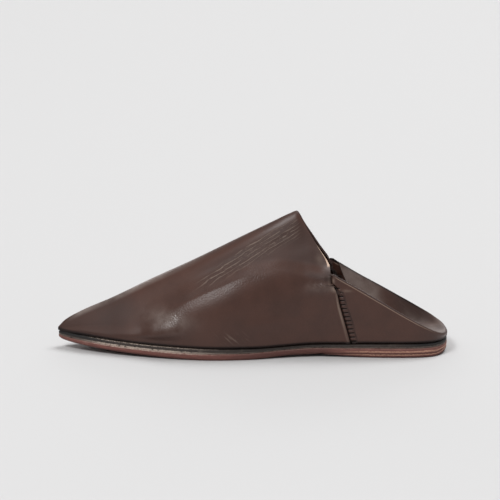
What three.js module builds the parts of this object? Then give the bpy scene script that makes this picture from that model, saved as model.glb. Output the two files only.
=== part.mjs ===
// A pointed leather babouche slipper with its back trodden down, standing empty on its sole.
// Millimetres. +Z is up, the toe points to -X, the outer (little-toe) side is -Y: a left shoe.
// The sole layers, insole and upper are separate closed solids that meet about 0.3 mm apart.
import * as THREE from 'three';

// ---- driving dimensions -------------------------------------------------------------------
const TOE_X = -138;            // tip of the upper
const HEEL_X = 138;            // back of the upper
const GAP = 0.3;               // clearance between pieces that meet
const UPPER_WALL = 1.4;        // leather of the upper
const INSOLE_THICK = 1.2;      // leather sock
const INSOLE_PLAY = 0.5;       // between the insole and the turned-in edge
const SOLE_END_INSET = 0.5;    // how far the sole ends stop short of the upper
const LEDGE = 1.2;             // sole edge beyond the upper along the sides
const TURN_IN = 4.2;           // edge of the upper turned in under itself
const TURN_RADIUS = 1.8;       // plan depth of the rounded turned edge
const TURN_HEIGHT = 3.2;       // height of the rounded turned edge
const FOLD_RADIUS = 1.6;       // outer radius of the folded top edge at the back
const FLAP_STEEPNESS = 2.6;    // fall per mm of the folded flap where it leaves the fold
const THROAT_X = 31;           // front of the throat, on the ridge
const FLAP_LANDING = 7;        // least distance over which the flap falls
const CORNER_X = 54.7;          // where throat, side seam and fold meet
const SEAM_FOOT_X = 71;        // side seam at the sole
const FLAP_FRONT_X = 86;       // front edge of the folded flap on the centre line
const HEEL_CENTRE_X = 112;     // last centre-line point that the flap's rows close onto
const LIFT_START_X = 50;       // front of the heel lift
const LIFT_RAMP = 6;           // length over which the outsole rises onto the lift
const INSOLE_START_X = -124;   // front of the insole
const INNER_TIP_X = -130.5;    // front end of the hollow inside the toe

// Plan of the sole edge: half widths on the outer (-Y) and inner (+Y) side.
const PLAN = [
  { x: -138, outer: -3, inner: 3 },
  { x: -136.4, outer: 0, inner: 5.6 },
  { x: -131, outer: 4.4, inner: 9.2 },
  { x: -119, outer: 12.2, inner: 15.6 },
  { x: -100, outer: 22, inner: 23.8 },
  { x: -76, outer: 31.2, inner: 31.6 },
  { x: -52, outer: 37.8, inner: 38.4 },
  { x: -27, outer: 40.9, inner: 40.7 },
  { x: 0, outer: 38.2, inner: 35.6 },
  { x: 25, outer: 32, inner: 28.4 },
  { x: 45, outer: 28.9, inner: 26 },
  { x: 65, outer: 29.9, inner: 27.8 },
  { x: 87, outer: 31.9, inner: 30.8 },
  { x: 104, outer: 32.5, inner: 32 },
  { x: 118, outer: 31.5, inner: 31.2 },
  { x: 128, outer: 27.6, inner: 27.5 },
  { x: 134, outer: 20.4, inner: 20.4 },
  { x: 137.2, outer: 10, inner: 10 },
  { x: 138, outer: 0, inner: 0 },
];
// Heights of the sole along the shoe: underside, joint of outsole and midsole, top.
const SOLE = [
  { x: -138, under: 7.4, joint: 9.9, top: 12.6 },
  { x: -134, under: 6.3, joint: 9.2, top: 12 },
  { x: -120, under: 4.5, joint: 8.1, top: 11.1 },
  { x: -100, under: 3, joint: 7.1, top: 9.9 },
  { x: -70, under: 1.5, joint: 5.9, top: 8.7 },
  { x: -45, under: 0.5, joint: 5.2, top: 8.1 },
  { x: -32, under: 0, joint: 5, top: 7.8 },
  { x: -8, under: 0, joint: 5, top: 7.5 },
  { x: 8, under: 0.8, joint: 5.5, top: 7.4 },
  { x: 26, under: 1.9, joint: 6.3, top: 7.9 },
  { x: 42, under: 2.1, joint: 6.8, top: 8.5 },
  { x: 58, under: 1.4, joint: 6.7, top: 8.7 },
  { x: 72, under: 0.5, joint: 6.9, top: 9.1 },
  { x: 84, under: 0, joint: 7.1, top: 9.4 },
  { x: 127, under: 0, joint: 7.2, top: 9.6 },
  { x: 134, under: 0.6, joint: 7.2, top: 9.6 },
  { x: 138, under: 2, joint: 7.2, top: 9.6 },
];
// Thickness of the heel lift, feathered at its front.
const LIFT = [
  { x: LIFT_START_X, thick: 0.6 },
  { x: 62, thick: 1.2 },
  { x: 84, thick: 2.5 },
  { x: 138, thick: 2.6 },
];
// Roof of the vamp: height of the ridge line, its sideways place, and how the roof falls away.
// round: width of the rounded ridge as a share of the roof.
// start and end: slope at the ridge and at the shoulder over the mean slope.
const ROOF = [
  { x: TOE_X, ridge: 14.4, offset: 3, round: 0.9, start: 1, end: 1.5 },
  { x: -133, ridge: 19.6, offset: 3, round: 0.8, start: 1, end: 1.4 },
  { x: -121.7, ridge: 26.2, offset: 2.7, round: 0.7, start: 1, end: 1.3 },
  { x: -99, ridge: 36.4, offset: 1.7, round: 0.6, start: 1.05, end: 1.1 },
  { x: -72, ridge: 49.8, offset: 0.8, round: 0.5, start: 1.15, end: 0.9 },
  { x: -43, ridge: 63.2, offset: 0.3, round: 0.4, start: 1.3, end: 0.6 },
  { x: -9, ridge: 80.1, offset: 0, round: 0.32, start: 1.4, end: 0.55 },
  { x: 16, ridge: 92.4, offset: 0, round: 0.3, start: 1.6, end: 0.6 },
  { x: 27, ridge: 97.7, offset: 0, round: 0.3, start: 1.85, end: 0.65 },
  { x: 31, ridge: 99.2, offset: 0, round: 0.3, start: 1.95, end: 0.7 },
  { x: 36, ridge: 94.6, offset: 0, round: 0.3, start: 1.6, end: 0.75 },
  { x: 42, ridge: 88.4, offset: 0, round: 0.3, start: 1.2, end: 0.85 },
  { x: 48, ridge: 79.4, offset: 0, round: 0.3, start: 1.1, end: 0.95 },
  { x: 53, ridge: 70.6, offset: 0, round: 0.3, start: 1, end: 1 },
  { x: 56, ridge: 66, offset: 0, round: 0.3, start: 1, end: 1 },
];
// Shoulder: where the roof meets the wall on the vamp, and the top of the quarter's wall.
// inset: how far it stands in from the foot of the wall; lean: degrees below level.
const SHOULDER = [
  { x: -138, height: 13.8, inset: 0.2, lean: 60 },
  { x: -121.7, height: 17.4, inset: 3.2, lean: 58 },
  { x: -99, height: 20.6, inset: 5.6, lean: 56 },
  { x: -72, height: 25, inset: 5.2, lean: 54 },
  { x: -46, height: 36.6, inset: 6.6, lean: 44 },
  { x: -23, height: 48, inset: 9, lean: 42 },
  { x: -2, height: 56.4, inset: 9.4, lean: 42 },
  { x: 20, height: 61, inset: 7.2, lean: 50 },
  { x: 38, height: 58.5, inset: 4.4, lean: 55 },
  { x: 50, height: 56.6, inset: 2.2, lean: 60 },
  { x: 56, height: 57.2, inset: 1.4, lean: 70 },
  { x: 60, height: 55.1, inset: 1.2, lean: 84 },
  { x: 87, height: 40, inset: 0.7, lean: 86 },
  { x: 109, height: 27.3, inset: 0, lean: 88 },
  { x: 126, height: 17.9, inset: -0.7, lean: 88 },
  { x: 134, height: 13.8, inset: -0.7, lean: 88 },
  { x: 138, height: 12.2, inset: 0, lean: 88 },
];
// Throat edge of the vamp: share of the roof's width from the ridge, and the place along the shoe.
const THROAT = [
  { share: 0, x: THROAT_X },
  { share: 0.16, x: 36 },
  { share: 0.32, x: 42 },
  { share: 0.41, x: 47.2 },
  { share: 0.5, x: 52.6 },
  { share: 0.64, x: 54.3 },
  { share: 1, x: CORNER_X },
];
// Front edge of the folded flap: share of the way from the fold to the centre line, and its place.
const FLAP_EDGE = [
  { share: 0, x: CORNER_X },
  { share: 0.02, x: 60 },
  { share: 0.1, x: 61.3 },
  { share: 0.2, x: 63 },
  { share: 0.5, x: 72.5 },
  { share: 1, x: FLAP_FRONT_X },
];
// Edge profiles of the sole layers from bottom to top: plan inset and share of the thickness.
const OUTSOLE_EDGE = [
  { inset: 1.1, share: 0 },
  { inset: 0.2, share: 0.28 },
  { inset: 0, share: 0.7 },
  { inset: 0.25, share: 1 },
];
const MIDSOLE_EDGE = [
  { inset: 0.25, share: 0 },
  { inset: 0.1, share: 0.5 },
  { inset: 0.9, share: 1 },
];
const LIFT_EDGE = [
  { inset: 1.2, share: 0 },
  { inset: 0.3, share: 0.5 },
  { inset: 0.4, share: 1 },
];
const INSOLE_EDGE = [
  { inset: 0, share: 0 },
  { inset: 0.2, share: 1 },
];

// ---- interpolation ------------------------------------------------------------------------
// Smooth curve through a table's rows that never overshoots them (monotone cubic).
function tableCurve(rows, input, output) {
  const xs = rows.map((row) => row[input]);
  const ys = rows.map((row) => row[output]);
  const chord = xs.slice(1).map((x, i) => (ys[i + 1] - ys[i]) / (x - xs[i]));
  const slope = xs.map((x, i) => {
    if (i === 0) return chord[0];
    if (i === xs.length - 1) return chord[i - 1];
    const before = chord[i - 1];
    const after = chord[i];
    if (before * after <= 0) return 0;
    const a = xs[i] - xs[i - 1];
    const b = xs[i + 1] - xs[i];
    return (3 * (a + b)) / ((2 * b + a) / before + (b + 2 * a) / after);
  });
  return (x) => {
    const at = Math.min(Math.max(x, xs[0]), xs[xs.length - 1]);
    let i = 0;
    while (i < xs.length - 2 && at > xs[i + 1]) i += 1;
    const width = xs[i + 1] - xs[i];
    const t = (at - xs[i]) / width;
    const t2 = t * t;
    const t3 = t2 * t;
    return (2 * t3 - 3 * t2 + 1) * ys[i] + (t3 - 2 * t2 + t) * width * slope[i]
      + (3 * t2 - 2 * t3) * ys[i + 1] + (t3 - t2) * width * slope[i + 1];
  };
}

const underZ = tableCurve(SOLE, 'x', 'under');
const jointZ = tableCurve(SOLE, 'x', 'joint');
const topZ = tableCurve(SOLE, 'x', 'top');
const liftThick = tableCurve(LIFT, 'x', 'thick');
const ridgeZ = tableCurve(ROOF, 'x', 'ridge');
const ridgeY = tableCurve(ROOF, 'x', 'offset');
const ridgeRound = tableCurve(ROOF, 'x', 'round');
const roofStart = tableCurve(ROOF, 'x', 'start');
const roofEnd = tableCurve(ROOF, 'x', 'end');
const shoulderZ = tableCurve(SHOULDER, 'x', 'height');
const shoulderInset = tableCurve(SHOULDER, 'x', 'inset');
const shoulderLean = tableCurve(SHOULDER, 'x', 'lean');
const throatX = tableCurve(THROAT, 'share', 'x');
const flapFrontX = tableCurve(FLAP_EDGE, 'share', 'x');

// ---- plan outline -------------------------------------------------------------------------
// Station 0 is the toe tip and LAST_STATION the back of the heel; side is -1 outer, +1 inner.
const LAST_STATION = PLAN.length - 1;
const PLAN_STEP = 0.01;        // stations either side that give the edge's direction
const END_STATIONS = 4;        // the ledge fades out over this many stations at each end

function planRow(index, side) {
  const key = side < 0 ? 'outer' : 'inner';
  const last = LAST_STATION;
  if (index < 0) return [PLAN[-index].x, side * (2 * PLAN[0][key] - PLAN[-index][key])];
  if (index > last) return [PLAN[2 * last - index].x, -side * PLAN[2 * last - index][key]];
  return [PLAN[index].x, side * PLAN[index][key]];
}

// Point of the sole edge at a station: a centripetal spline through the plan's rows.
function planPoint(station, side) {
  const i = Math.min(Math.floor(station), LAST_STATION - 1);
  const rows = [i - 1, i, i + 1, i + 2].map((index) => new THREE.Vector3(...planRow(index, side), 0));
  const spline = new THREE.CatmullRomCurve3(rows, false, 'centripetal');
  const point = spline.getPoint((1 + station - i) / 3);
  return [point.x, point.y];
}

// Sole edge moved inwards, square to itself.
function insetPoint(station, side, inset) {
  const [x, y] = planPoint(station, side);
  if (station >= LAST_STATION) return [x - inset, 0];
  if (station <= 0) return [x + inset, y];
  const [ax, ay] = planPoint(Math.max(station - PLAN_STEP, 0), side);
  const [bx, by] = planPoint(Math.min(station + PLAN_STEP, LAST_STATION), side);
  const scale = (side * inset) / Math.hypot(bx - ax, by - ay);
  return [x + (by - ay) * scale, y - (bx - ax) * scale];
}

// Foot of the upper's wall: inside the sole edge along the sides, flush at both ends.
function footInset(station) {
  const fromToe = Math.min(station / END_STATIONS, 1);
  const fromHeel = Math.min((LAST_STATION - station) / END_STATIONS, 1);
  return LEDGE * fromToe * fromHeel;
}
const footPoint = (station, side, inset = 0) => insetPoint(station, side, footInset(station) + inset);

// Half width of the wall's foot at a place along the shoe, from samples of the outline.
const SAMPLES = 900;
const footSamples = [-1, 1].map((side) => Array.from({ length: SAMPLES + 1 }, (unused, i) => {
  const station = (LAST_STATION * i) / SAMPLES;
  return [...footPoint(station, side), station];
}));

function footAt(x, side) {
  const samples = footSamples[side < 0 ? 0 : 1];
  let low = 0;
  let high = SAMPLES;
  while (high - low > 1) {
    const middle = (low + high) >> 1;
    if (samples[middle][0] < x) low = middle;
    else high = middle;
  }
  const [ax, ay, as] = samples[low];
  const [bx, by, bs] = samples[high];
  const t = Math.min(Math.max((x - ax) / (bx - ax), 0), 1);
  return { y: ay + (by - ay) * t, station: as + (bs - as) * t };
}

// ---- the upper's wall in section ----------------------------------------------------------
const WIDE_ROOM = 14;          // half width from which the turned-in lip has its full size
const LIP_CORNER = 0.7;        // share of the lip's steps that round its corner
const SHOULDER_REACH = 0.35;   // length of the shoulder's tangent over the height of the wall
const feather = (x) => topZ(x) + GAP;

// Wall in section as plan inset and height, from the shoulder (0) down to the turned edge (1).
function wallSection(x, fall) {
  const foot = feather(x);
  const top = shoulderZ(x);
  const inset = shoulderInset(x);
  const belly = foot + Math.min(TURN_HEIGHT, 0.5 * (top - foot));
  const lean = THREE.MathUtils.degToRad(shoulderLean(x));
  const reach = Math.min(SHOULDER_REACH * (top - belly), (0.95 * Math.abs(inset)) / Math.cos(lean) + 0.1);
  const handle = [inset - Math.sign(inset) * reach * Math.cos(lean), top - reach * Math.sin(lean)];
  const hang = [0, belly + 0.5 * (handle[1] - belly)];
  const keep = 1 - fall;
  return [0, 1].map((axis) => {
    const ends = [[inset, top], handle, hang, [0, belly]].map((point) => point[axis]);
    return keep ** 3 * ends[0] + 3 * keep ** 2 * fall * ends[1]
      + 3 * keep * fall ** 2 * ends[2] + fall ** 3 * ends[3];
  });
}

// Turned-in lower edge in section: a rounded corner and a flat lip, shrunk near the toe tip.
function lipSection(x, share, room) {
  const foot = feather(x);
  const belly = wallSection(x, 1)[1];
  const shrink = Math.min(1, room / WIDE_ROOM);
  if (share <= LIP_CORNER) {
    const angle = (share / LIP_CORNER) * (Math.PI / 2);
    return [TURN_RADIUS * shrink * (1 - Math.cos(angle)), belly - (belly - foot) * Math.sin(angle)];
  }
  const along = (share - LIP_CORNER) / (1 - LIP_CORNER);
  return [shrink * (TURN_RADIUS + (TURN_IN - TURN_RADIUS) * along), foot];
}

// ---- the vamp -----------------------------------------------------------------------------
const ROOF_STEPS = 8;
const WALL_STEPS = 6;
const LIP_STEPS = 3;
const SIDE_STEPS = ROOF_STEPS + WALL_STEPS + LIP_STEPS;
const VAMP_ROWS = 22;
const TIP_HEIGHT = 1;          // tip of the toe above the feather line

// Height of the roof between ridge (share 0) and shoulder (share 1).
function roofZ(x, share) {
  const round = ridgeRound(x);
  const eased = (Math.hypot(share, round) - round) / (Math.hypot(1, round) - round);
  const start = roofStart(x);
  const end = roofEnd(x);
  const fallen = start * eased + (3 - 2 * start - end) * eased ** 2 + (start + end - 2) * eased ** 3;
  return shoulderZ(x) + (ridgeZ(x) - shoulderZ(x)) * (1 - fallen);
}

// Point of the vamp's outer face; column 0 is the ridge and SIDE_STEPS the end of the lip.
function vampPoint(x, column, side) {
  const middle = ridgeY(x);
  const room = Math.abs(footAt(x, side).y - middle);
  const shoulder = Math.max(room - shoulderInset(x), 0);
  if (column <= ROOF_STEPS) {
    const share = column / ROOF_STEPS;
    return new THREE.Vector3(x, middle + side * shoulder * share, roofZ(x, share));
  }
  const below = column - ROOF_STEPS;
  const [inset, z] = below <= WALL_STEPS
    ? wallSection(x, below / WALL_STEPS)
    : lipSection(x, (below - WALL_STEPS) / LIP_STEPS, room);
  return new THREE.Vector3(x, middle + side * Math.max(room - inset, 0), z);
}

// Where a column of the vamp ends: on the throat edge above the corner, on the side seam below it.
function vampBackX(column, side) {
  if (column <= ROOF_STEPS) return throatX(column / ROOF_STEPS);
  let x = CORNER_X;
  for (let turn = 0; turn < 12; turn += 1) {
    const z = vampPoint(x, column, side).z;
    const fallen = (shoulderZ(CORNER_X) - z) / (shoulderZ(CORNER_X) - feather(SEAM_FOOT_X));
    x = 0.5 * x + 0.5 * (CORNER_X + (SEAM_FOOT_X - CORNER_X) * fallen);
  }
  return x;
}

const backX = [-1, 1].map((side) => Array.from({ length: SIDE_STEPS + 1 }, (unused, column) => (
  vampBackX(column, side)
)));

// Rows crowd towards the tip, where the section grows fastest.
const TIP_CROWDING = 1.5;
const rowShare = (row) => (row / VAMP_ROWS) ** TIP_CROWDING;

function vampPlace(row, column, side, from) {
  const back = backX[side < 0 ? 0 : 1][Math.abs(column)];
  return from + (back - from) * rowShare(row);
}

// Outward direction of the vamp's outer face, from points a small step away on each hand.
function vampNormal(x, column, side) {
  const step = 0.2;
  const lower = vampPoint(x, Math.min(column + step, SIDE_STEPS), side);
  const upper = column > 0
    ? vampPoint(x, Math.max(column - step, 0), side)
    : vampPoint(x, step, -side);
  const along = vampPoint(x + step, column, side).sub(vampPoint(x - step, column, side));
  return along.cross(lower.sub(upper)).multiplyScalar(side).normalize();
}

function vampOuter(row, column, side) {
  if (row === 0) return new THREE.Vector3(TOE_X, ridgeY(TOE_X), feather(TOE_X) + TIP_HEIGHT);
  return vampPoint(vampPlace(row, column, side, TOE_X), column, side);
}

function vampInner(row, column, side) {
  if (row === 0) {
    const middle = 0.5 * (vampInner(1, 0, side).z + feather(INNER_TIP_X)) + TIP_HEIGHT;
    return new THREE.Vector3(INNER_TIP_X, ridgeY(INNER_TIP_X), middle);
  }
  const x = vampPlace(row, column, side, INNER_TIP_X);
  return vampPoint(x, column, side).addScaledVector(vampNormal(x, column, side), -UPPER_WALL);
}

// ---- the quarter and its folded flap ------------------------------------------------------
const FOLD_STEPS = 2;
const FLAP_STEPS = 9;
const WALL_ROWS = LIP_STEPS + WALL_STEPS;
const FOLD_ROWS = WALL_ROWS + FOLD_STEPS;
const QUARTER_STEPS = FOLD_ROWS + FLAP_STEPS;
const QUARTER_COLUMNS = 16;    // on each side, from the seam to the back of the heel
const FLAP_REST = 2 * GAP + INSOLE_THICK + UPPER_WALL;    // top of the flap above the sole

// Point of the quarter's visible face; row 0 is the lip and the last row the centre line.
function quarterPoint(station, row, side) {
  const [footX] = footPoint(station, side);
  const top = shoulderZ(footX);
  const inset = shoulderInset(footX);
  if (row <= LIP_STEPS) {
    const [across, z] = lipSection(footX, 1 - row / LIP_STEPS, WIDE_ROOM);
    return new THREE.Vector3(...footPoint(station, side, across), z);
  }
  if (row <= WALL_ROWS) {
    const [across, z] = wallSection(footX, 1 - (row - LIP_STEPS) / WALL_STEPS);
    return new THREE.Vector3(...footPoint(station, side, across), z);
  }
  if (row <= FOLD_ROWS) {
    const angle = ((row - WALL_ROWS) / FOLD_STEPS) * (Math.PI / 2);
    const across = inset + FOLD_RADIUS * (1 - Math.cos(angle));
    return new THREE.Vector3(...footPoint(station, side, across), top + FOLD_RADIUS * Math.sin(angle));
  }
  const share = flapShare(row);
  const [x, y] = footPoint(station, side, inset + FOLD_RADIUS);
  const start = quarterStart(row, side);
  const centreX = flapCentreX((station - start) / (LAST_STATION - start));
  const across = Math.hypot(centreX - x, y) * share;
  const along = x + (centreX - x) * share;
  return new THREE.Vector3(along, y * (1 - share), flapZ(along, top + FOLD_RADIUS, across, share));
}

// Rows of the flap crowd towards the fold; its columns close onto the centre line.
const FOLD_CROWDING = 1.7;
const HEEL_CROWDING = 2.6;
const flapShare = (row) => ((row - FOLD_ROWS) / FLAP_STEPS) ** FOLD_CROWDING;
const flapCentreX = (along) => (
  FLAP_FRONT_X + (HEEL_CENTRE_X - FLAP_FRONT_X) * (1 - Math.max(1 - along, 0) ** HEEL_CROWDING)
);

// Height of the flap: it leaves the fold, falls steeply and comes to rest on the insole.
function flapZ(x, crest, across, share) {
  const rest = topZ(x) + FLAP_REST;
  if (share >= 1) return rest;
  const landing = Math.max((2 * (crest - rest)) / FLAP_STEEPNESS, FLAP_LANDING);
  const round = (0.7 * FOLD_RADIUS) / landing;
  const fallen = Math.min(across / landing, 1);
  const eased = (Math.hypot(fallen, round) - round) / (Math.hypot(1, round) - round);
  return rest + (crest - rest) * (1 - eased) ** 2;
}

function quarterStart(row, side) {
  const places = backX[side < 0 ? 0 : 1];
  if (row <= WALL_ROWS) {
    const whole = Math.floor(row);
    const below = places[SIDE_STEPS - whole];
    const above = places[SIDE_STEPS - Math.min(whole + 1, WALL_ROWS)];
    return footAt(below + (above - below) * (row - whole), side).station;
  }
  if (row <= FOLD_ROWS) return footAt(CORNER_X, side).station;
  return footAt(flapFrontX(flapShare(row)), side).station;
}

function quarterStation(row, column, side) {
  const start = quarterStart(row, side);
  return start + (LAST_STATION - start) * (column / QUARTER_COLUMNS);
}

function quarterOuter(row, column, side) {
  if (column === 0 && row <= WALL_ROWS) return vampOuter(VAMP_ROWS, SIDE_STEPS - row, side);
  return quarterPoint(quarterStation(row, column, side), row, side);
}

function quarterInner(row, column, side) {
  const station = quarterStation(row, column, side);
  const step = 0.04;
  const low = Math.max(row - step, 0);
  const high = Math.min(row + step, QUARTER_STEPS - 0.001);
  const up = quarterPoint(station, high, side).sub(quarterPoint(station, low, side));
  const before = quarterPoint(Math.max(station - step, 0), row, side);
  const past = station + step;
  const after = past <= LAST_STATION
    ? quarterPoint(past, row, side)
    : quarterPoint(2 * LAST_STATION - past, row, -side);
  const normal = after.sub(before).cross(up).multiplyScalar(-side).normalize();
  if (row === QUARTER_STEPS) normal.set(0, 0, 1);
  return quarterOuter(row, column, side).addScaledVector(normal, -UPPER_WALL);
}

// ---- meshes -------------------------------------------------------------------------------
// Collects faces of an open sheet with an outer and an inner face, welding shared points.
class Shell {
  constructor() {
    this.outer = [];
    this.inner = [];
    this.lookup = new Map();
    this.faces = [];
  }

  point(outer, inner) {
    const key = outer.toArray().map((value) => Math.round(value * 1000)).join();
    if (!this.lookup.has(key)) {
      this.lookup.set(key, this.outer.length);
      this.outer.push(outer);
      this.inner.push(inner);
    }
    return this.lookup.get(key);
  }

  quad(a, b, c, d) {
    const whole = [[a, b, c], [a, c, d]];
    whole.filter(([p, q, r]) => p !== q && q !== r && r !== p).forEach((face) => this.faces.push(face));
  }

  // Both faces of the sheet and the strips that close its open edges.
  geometry() {
    const count = this.outer.length;
    const edges = new Map();
    this.faces.forEach(([a, b, c]) => {
      [[a, b], [b, c], [c, a]].forEach(([from, to]) => edges.set(`${from}_${to}`, [from, to]));
    });
    const triangles = [];
    this.faces.forEach(([a, b, c]) => {
      triangles.push(a, b, c);
      triangles.push(a + count, c + count, b + count);
    });
    edges.forEach(([from, to]) => {
      if (edges.has(`${to}_${from}`)) return;
      triangles.push(to, from, from + count);
      triangles.push(to, from + count, to + count);
    });
    return meshGeometry([...this.outer, ...this.inner], triangles);
  }
}

function meshGeometry(points, triangles) {
  const geometry = new THREE.BufferGeometry();
  const flat = points.flatMap((point) => point.toArray());
  geometry.setAttribute('position', new THREE.Float32BufferAttribute(flat, 3));
  geometry.setIndex(triangles);
  geometry.computeVertexNormals();
  return geometry;
}

// One patch of the sheet on one side of the shoe; the winding flips with the side.
function addPatch(shell, rows, columns, side, outerAt, innerAt) {
  const grid = [];
  for (let row = 0; row <= rows; row += 1) {
    grid.push([]);
    for (let column = 0; column <= columns; column += 1) {
      grid[row].push(shell.point(outerAt(row, column, side), innerAt(row, column, side)));
    }
  }
  for (let row = 0; row < rows; row += 1) {
    for (let column = 0; column < columns; column += 1) {
      const corners = [
        grid[row][column], grid[row + 1][column], grid[row + 1][column + 1], grid[row][column + 1],
      ];
      shell.quad(...(side < 0 ? corners.reverse() : corners));
    }
  }
}

function upperGeometry() {
  const shell = new Shell();
  [-1, 1].forEach((side) => {
    addPatch(shell, VAMP_ROWS, SIDE_STEPS, side, vampOuter, vampInner);
  });
  [-1, 1].forEach((side) => {
    addPatch(shell, QUARTER_STEPS, QUARTER_COLUMNS, side, quarterOuter, quarterInner);
  });
  return shell.geometry();
}

// A sole layer: rings of its edge profile, joined by side walls and closed by two faces.
function layerGeometry({ from, to, steps, inset, profile, low, high }) {
  const points = [];
  const ring = (edge) => {
    const first = points.length;
    for (let i = 0; i <= steps; i += 1) {
      const station = from + (to - from) * (i / steps);
      [-1, 1].forEach((side) => {
        const [x, y] = insetPoint(station, side, inset(station) + edge.inset);
        points.push(new THREE.Vector3(x, y, low(x) + (high(x) - low(x)) * edge.share));
      });
    }
    return first;
  };
  const rings = profile.map(ring);
  const triangles = [];
  const loop = [];
  for (let i = 0; i <= steps; i += 1) loop.push(2 * i);
  for (let i = steps; i >= 0; i -= 1) loop.push(2 * i + 1);
  for (let level = 0; level < rings.length - 1; level += 1) {
    loop.forEach((at, i) => {
      const next = loop[(i + 1) % loop.length];
      const [a, b] = [rings[level] + at, rings[level] + next];
      const [c, d] = [rings[level + 1] + next, rings[level + 1] + at];
      triangles.push(a, b, c, a, c, d);
    });
  }
  const [bottom, top] = [rings[0], rings[rings.length - 1]];
  for (let i = 0; i < steps; i += 1) {
    const [a, b, c, d] = [2 * i, 2 * i + 1, 2 * i + 3, 2 * i + 2];
    triangles.push(bottom + a, bottom + b, bottom + c, bottom + a, bottom + c, bottom + d);
    triangles.push(top + a, top + c, top + b, top + a, top + d, top + c);
  }
  return weld(points, triangles);
}

// Joins points that coincide and drops the faces that this closes up.
function weld(points, triangles) {
  const lookup = new Map();
  const kept = [];
  const index = points.map((point) => {
    const key = point.toArray().map((value) => Math.round(value * 1000)).join();
    if (!lookup.has(key)) {
      lookup.set(key, kept.length);
      kept.push(point);
    }
    return lookup.get(key);
  });
  const faces = [];
  for (let i = 0; i < triangles.length; i += 3) {
    const [a, b, c] = [0, 1, 2].map((corner) => index[triangles[i + corner]]);
    if (a !== b && b !== c && c !== a) faces.push(a, b, c);
  }
  return meshGeometry(kept, faces);
}

// ---- pieces -------------------------------------------------------------------------------
const BLUNT_STATIONS = 3;      // the sole stops short of the upper over this many stations
const soleInset = (station) => {
  const fromEnd = Math.min(station, LAST_STATION - station);
  return SOLE_END_INSET * (1 - Math.min(1, fromEnd / BLUNT_STATIONS));
};
const ALL_STEPS = LAST_STATION * 3;
const LIFT_STEPS = 26;
const INSOLE_STEPS = 40;

// The lift lies under the heel end only: the outsole rises onto it just ahead of its front.
const liftBlend = (x) => Math.min(Math.max(1 + (x - LIFT_START_X) / LIFT_RAMP, 0), 1);
const outsoleUnder = (x) => underZ(x) + (liftThick(x) + GAP) * liftBlend(x);

function outsole() {
  return layerGeometry({
    from: 0, to: LAST_STATION, steps: ALL_STEPS, inset: soleInset, profile: OUTSOLE_EDGE,
    low: outsoleUnder, high: (x) => jointZ(x) - GAP,
  });
}

function midsole() {
  return layerGeometry({
    from: 0, to: LAST_STATION, steps: ALL_STEPS, inset: soleInset, profile: MIDSOLE_EDGE,
    low: jointZ, high: topZ,
  });
}

function heelLift() {
  return layerGeometry({
    from: footAt(LIFT_START_X, -1).station, to: LAST_STATION, steps: LIFT_STEPS, inset: soleInset,
    profile: LIFT_EDGE, low: underZ, high: (x) => underZ(x) + liftThick(x),
  });
}

function insole() {
  return layerGeometry({
    from: footAt(INSOLE_START_X, -1).station, to: LAST_STATION, steps: INSOLE_STEPS,
    inset: (station) => footInset(station) + TURN_IN + INSOLE_PLAY, profile: INSOLE_EDGE,
    low: feather, high: (x) => feather(x) + INSOLE_THICK,
  });
}

function leather(color, roughness) {
  return new THREE.MeshStandardMaterial({ color, roughness, metalness: 0 });
}

function piece(name, geometry, material) {
  const mesh = new THREE.Mesh(geometry, material);
  mesh.name = name;
  return mesh;
}

const shoe = new THREE.Group();
shoe.add(piece('heel_lift', heelLift(), leather(0x7d4641, 0.6)));
shoe.add(piece('outsole', outsole(), leather(0x7d4641, 0.6)));
shoe.add(piece('midsole', midsole(), leather(0x2d2f2b, 0.6)));
shoe.add(piece('insole', insole(), leather(0x8a6f5c, 0.7)));
shoe.add(piece('upper', upperGeometry(), leather(0x4c3832, 0.45)));

export default shoe;
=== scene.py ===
"""Looks of a pointed leather babouche slipper with its back trodden down: a left shoe."""

import math

import bpy
import numpy as np
from bpy.props import FloatProperty, FloatVectorProperty, PointerProperty
from bpy.types import Operator, Panel, PropertyGroup
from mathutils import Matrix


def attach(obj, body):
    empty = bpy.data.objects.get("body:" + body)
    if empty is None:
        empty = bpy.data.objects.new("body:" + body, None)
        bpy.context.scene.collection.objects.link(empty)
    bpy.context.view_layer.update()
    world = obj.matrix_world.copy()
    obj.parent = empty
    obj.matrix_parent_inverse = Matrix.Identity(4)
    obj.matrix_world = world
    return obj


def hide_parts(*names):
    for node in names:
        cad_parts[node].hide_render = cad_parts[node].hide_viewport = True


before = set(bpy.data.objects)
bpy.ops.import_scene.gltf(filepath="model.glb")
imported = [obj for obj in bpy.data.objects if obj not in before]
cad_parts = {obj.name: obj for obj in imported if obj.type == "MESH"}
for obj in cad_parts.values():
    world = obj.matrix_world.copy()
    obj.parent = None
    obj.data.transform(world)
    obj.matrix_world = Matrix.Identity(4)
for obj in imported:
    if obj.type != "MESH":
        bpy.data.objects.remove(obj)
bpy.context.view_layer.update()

bl_info = {
    "name": "Babouche slipper",
    "version": (1, 0, 0),
    "blender": (4, 5, 0),
    "location": "3D View > Sidebar > Babouche",
    "description": "Builds the leather, seams and layered sole of a pointed babouche round its packed model",
    "category": "Add Mesh",
}

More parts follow.
